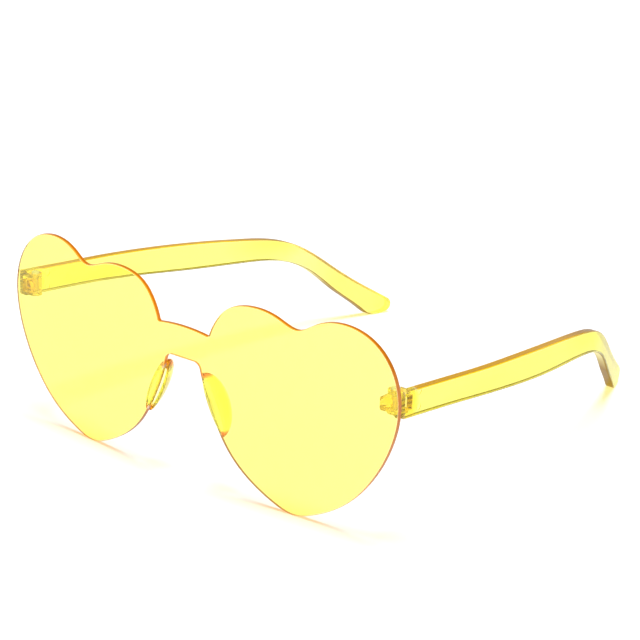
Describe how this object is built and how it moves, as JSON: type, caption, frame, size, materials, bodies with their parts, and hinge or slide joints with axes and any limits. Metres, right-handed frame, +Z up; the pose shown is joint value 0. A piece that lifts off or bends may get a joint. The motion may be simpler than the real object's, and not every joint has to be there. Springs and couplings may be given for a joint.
{
  "type": "heart shaped sunglasses",
  "caption": "Rimless sunglasses with a one-piece heart-shaped yellow lens, clear nose pads and matching folding temples.",
  "frame": {"origin": "on the ground plane, midway across the width and midway between the lens's foremost point and the temple tips' rear ends", "axes": "+X towards the wearer's left, -Y the way the wearer looks, +Z up; the heart tips and the temple tips stand at z = 0"},
  "size_m": [0.1444, 0.156, 0.0598],
  "materials": {
    "tinted_lens": "polished transparent yellow polycarbonate with orange edges",
    "tinted_pad": "polished transparent yellow plastic",
    "tinted_block": "moulded transparent amber-yellow plastic",
    "tinted_temple": "glossy moulded transparent yellow polycarbonate",
    "screw_steel": "plain bright steel"
  },
  "bodies": {
    "front": {"lens_shield": "tinted_lens", "nose_pad_left": "tinted_pad", "nose_pad_right": "tinted_pad", "hinge_block_left": "tinted_block", "hinge_block_right": "tinted_block"},
    "left_temple": {"temple_left": "tinted_temple", "hinge_screw_left": "screw_steel"},
    "right_temple": {"temple_right": "tinted_temple", "hinge_screw_right": "screw_steel"}
  },
  "joints": [
    {"name": "left_temple_fold", "type": "hinge", "parent": "front", "child": "left_temple", "pos_m": [0.0676, -0.068, 0.0404], "axis": [0, 0, 1], "range_deg": [0, 83]},
    {"name": "right_temple_fold", "type": "hinge", "parent": "front", "child": "right_temple", "pos_m": [-0.0676, -0.068, 0.0404], "axis": [0, 0, -1], "range_deg": [0, 77]}
  ]
}
